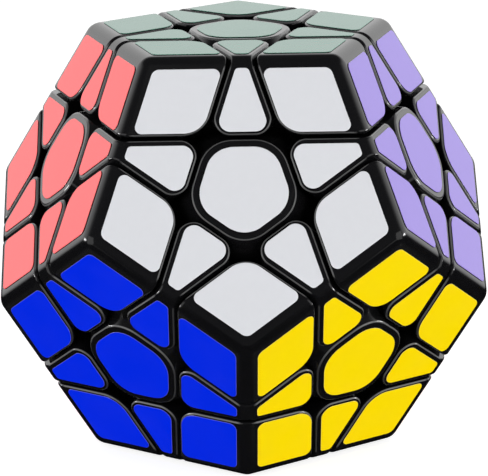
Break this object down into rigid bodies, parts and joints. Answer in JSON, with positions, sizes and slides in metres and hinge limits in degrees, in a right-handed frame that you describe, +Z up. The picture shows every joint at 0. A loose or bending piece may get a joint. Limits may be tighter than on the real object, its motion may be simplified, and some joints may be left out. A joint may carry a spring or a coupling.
{
  "type": "dodecahedron twisty puzzle",
  "caption": "Dodecahedral layered twisty puzzle: pentagonal faces of coloured tiles that turn about sprung face centres on a screwed core.",
  "frame": {"origin": "middle of the face that the puzzle stands on, in the plane of its stickers, straight below the centre of the core", "axes": "+Z up through the centre of the upper face; the white face is in the upper ring and faces -Y; +X is to its right"},
  "size_m": [0.0892, 0.0934, 0.077],
  "materials": {
    "inner_plastic": "moulded, satin",
    "shell_plastic": "moulded, glossy",
    "spring_steel": "bright wire",
    "steel": "zinc plated",
    "sticker_blue": "glossy printed vinyl",
    "sticker_cream": "glossy printed vinyl",
    "sticker_dark_green": "glossy printed vinyl",
    "sticker_grey": "glossy printed vinyl",
    "sticker_light_blue": "glossy printed vinyl",
    "sticker_light_green": "glossy printed vinyl",
    "sticker_orange": "glossy printed vinyl",
    "sticker_pink": "glossy printed vinyl",
    "sticker_purple": "glossy printed vinyl",
    "sticker_red": "glossy printed vinyl",
    "sticker_white": "glossy printed vinyl",
    "sticker_yellow": "glossy printed vinyl"
  },
  "bodies": {
    "puzzle": {"centre_caps": "shell_plastic", "centre_hubs": "shell_plastic", "core": "inner_plastic", "corner_feet": "inner_plastic", "corner_shells": "shell_plastic", "edge_feet": "inner_plastic", "edge_shells": "shell_plastic", "spring_washers": "steel", "stickers_blue": "sticker_blue", "stickers_dark_green": "sticker_dark_green", "stickers_grey": "sticker_grey", "stickers_light_blue": "sticker_light_blue", "stickers_light_green": "sticker_light_green", "stickers_pink": "sticker_pink", "stickers_purple": "sticker_purple", "stickers_red": "sticker_red", "stickers_yellow": "sticker_yellow", "tension_screws": "steel", "tension_springs": "spring_steel"},
    "white_layer": {"white_layer_corner_feet": "inner_plastic", "white_layer_corner_shells": "shell_plastic", "white_layer_edge_feet": "inner_plastic", "white_layer_edge_shells": "shell_plastic", "white_layer_stickers_blue": "sticker_blue", "white_layer_stickers_dark_green": "sticker_dark_green", "white_layer_stickers_purple": "sticker_purple", "white_layer_stickers_red": "sticker_red", "white_layer_stickers_white": "sticker_white", "white_layer_stickers_yellow": "sticker_yellow"},
    "white_centre": {"white_cap": "shell_plastic", "white_centre_sticker": "sticker_white", "white_hub": "shell_plastic"},
    "cream_layer": {"cream_layer_corner_feet": "inner_plastic", "cream_layer_corner_shells": "shell_plastic", "cream_layer_edge_feet": "inner_plastic", "cream_layer_edge_shells": "shell_plastic", "cream_layer_stickers_cream": "sticker_cream", "cream_layer_stickers_dark_green": "sticker_dark_green", "cream_layer_stickers_grey": "sticker_grey", "cream_layer_stickers_light_blue": "sticker_light_blue", "cream_layer_stickers_pink": "sticker_pink", "cream_layer_stickers_red": "sticker_red"},
    "cream_centre": {"cream_cap": "shell_plastic", "cream_centre_sticker": "sticker_cream", "cream_hub": "shell_plastic"},
    "orange_layer": {"orange_layer_corner_feet": "inner_plastic", "orange_layer_corner_shells": "shell_plastic", "orange_layer_edge_feet": "inner_plastic", "orange_layer_edge_shells": "shell_plastic", "orange_layer_stickers_grey": "sticker_grey", "orange_layer_stickers_light_blue": "sticker_light_blue", "orange_layer_stickers_light_green": "sticker_light_green", "orange_layer_stickers_orange": "sticker_orange", "orange_layer_stickers_purple": "sticker_purple", "orange_layer_stickers_yellow": "sticker_yellow"},
    "orange_centre": {"orange_cap": "shell_plastic", "orange_centre_sticker": "sticker_orange", "orange_hub": "shell_plastic"}
  },
  "joints": [
    {"name": "white_layer_turn", "type": "hinge", "parent": "puzzle", "child": "white_layer", "pos_m": [0, 0, 0.0385], "axis": [0, -0.8944, 0.4472], "continuous": true},
    {"name": "white_centre_float", "type": "slide", "parent": "white_layer", "child": "white_centre", "axis": [0, -0.8944, 0.4472], "range_m": [0, 0.0008], "stiffness_N_per_m": 1000, "springref_m": -0.0015, "deforming": ["tension_springs"]},
    {"name": "cream_layer_turn", "type": "hinge", "parent": "puzzle", "child": "cream_layer", "pos_m": [0, 0, 0.0385], "axis": [-0.5257, 0.7236, 0.4472], "continuous": true},
    {"name": "cream_centre_float", "type": "slide", "parent": "cream_layer", "child": "cream_centre", "axis": [-0.5257, 0.7236, 0.4472], "range_m": [0, 0.0008], "stiffness_N_per_m": 1000, "springref_m": -0.0015, "deforming": ["tension_springs"]},
    {"name": "orange_layer_turn", "type": "hinge", "parent": "puzzle", "child": "orange_layer", "pos_m": [0, 0, 0.0385], "axis": [0.8507, 0.2764, -0.4472], "continuous": true},
    {"name": "orange_centre_float", "type": "slide", "parent": "orange_layer", "child": "orange_centre", "axis": [0.8507, 0.2764, -0.4472], "range_m": [0, 0.0008], "stiffness_N_per_m": 1000, "springref_m": -0.0015, "deforming": ["tension_springs"]}
  ]
}
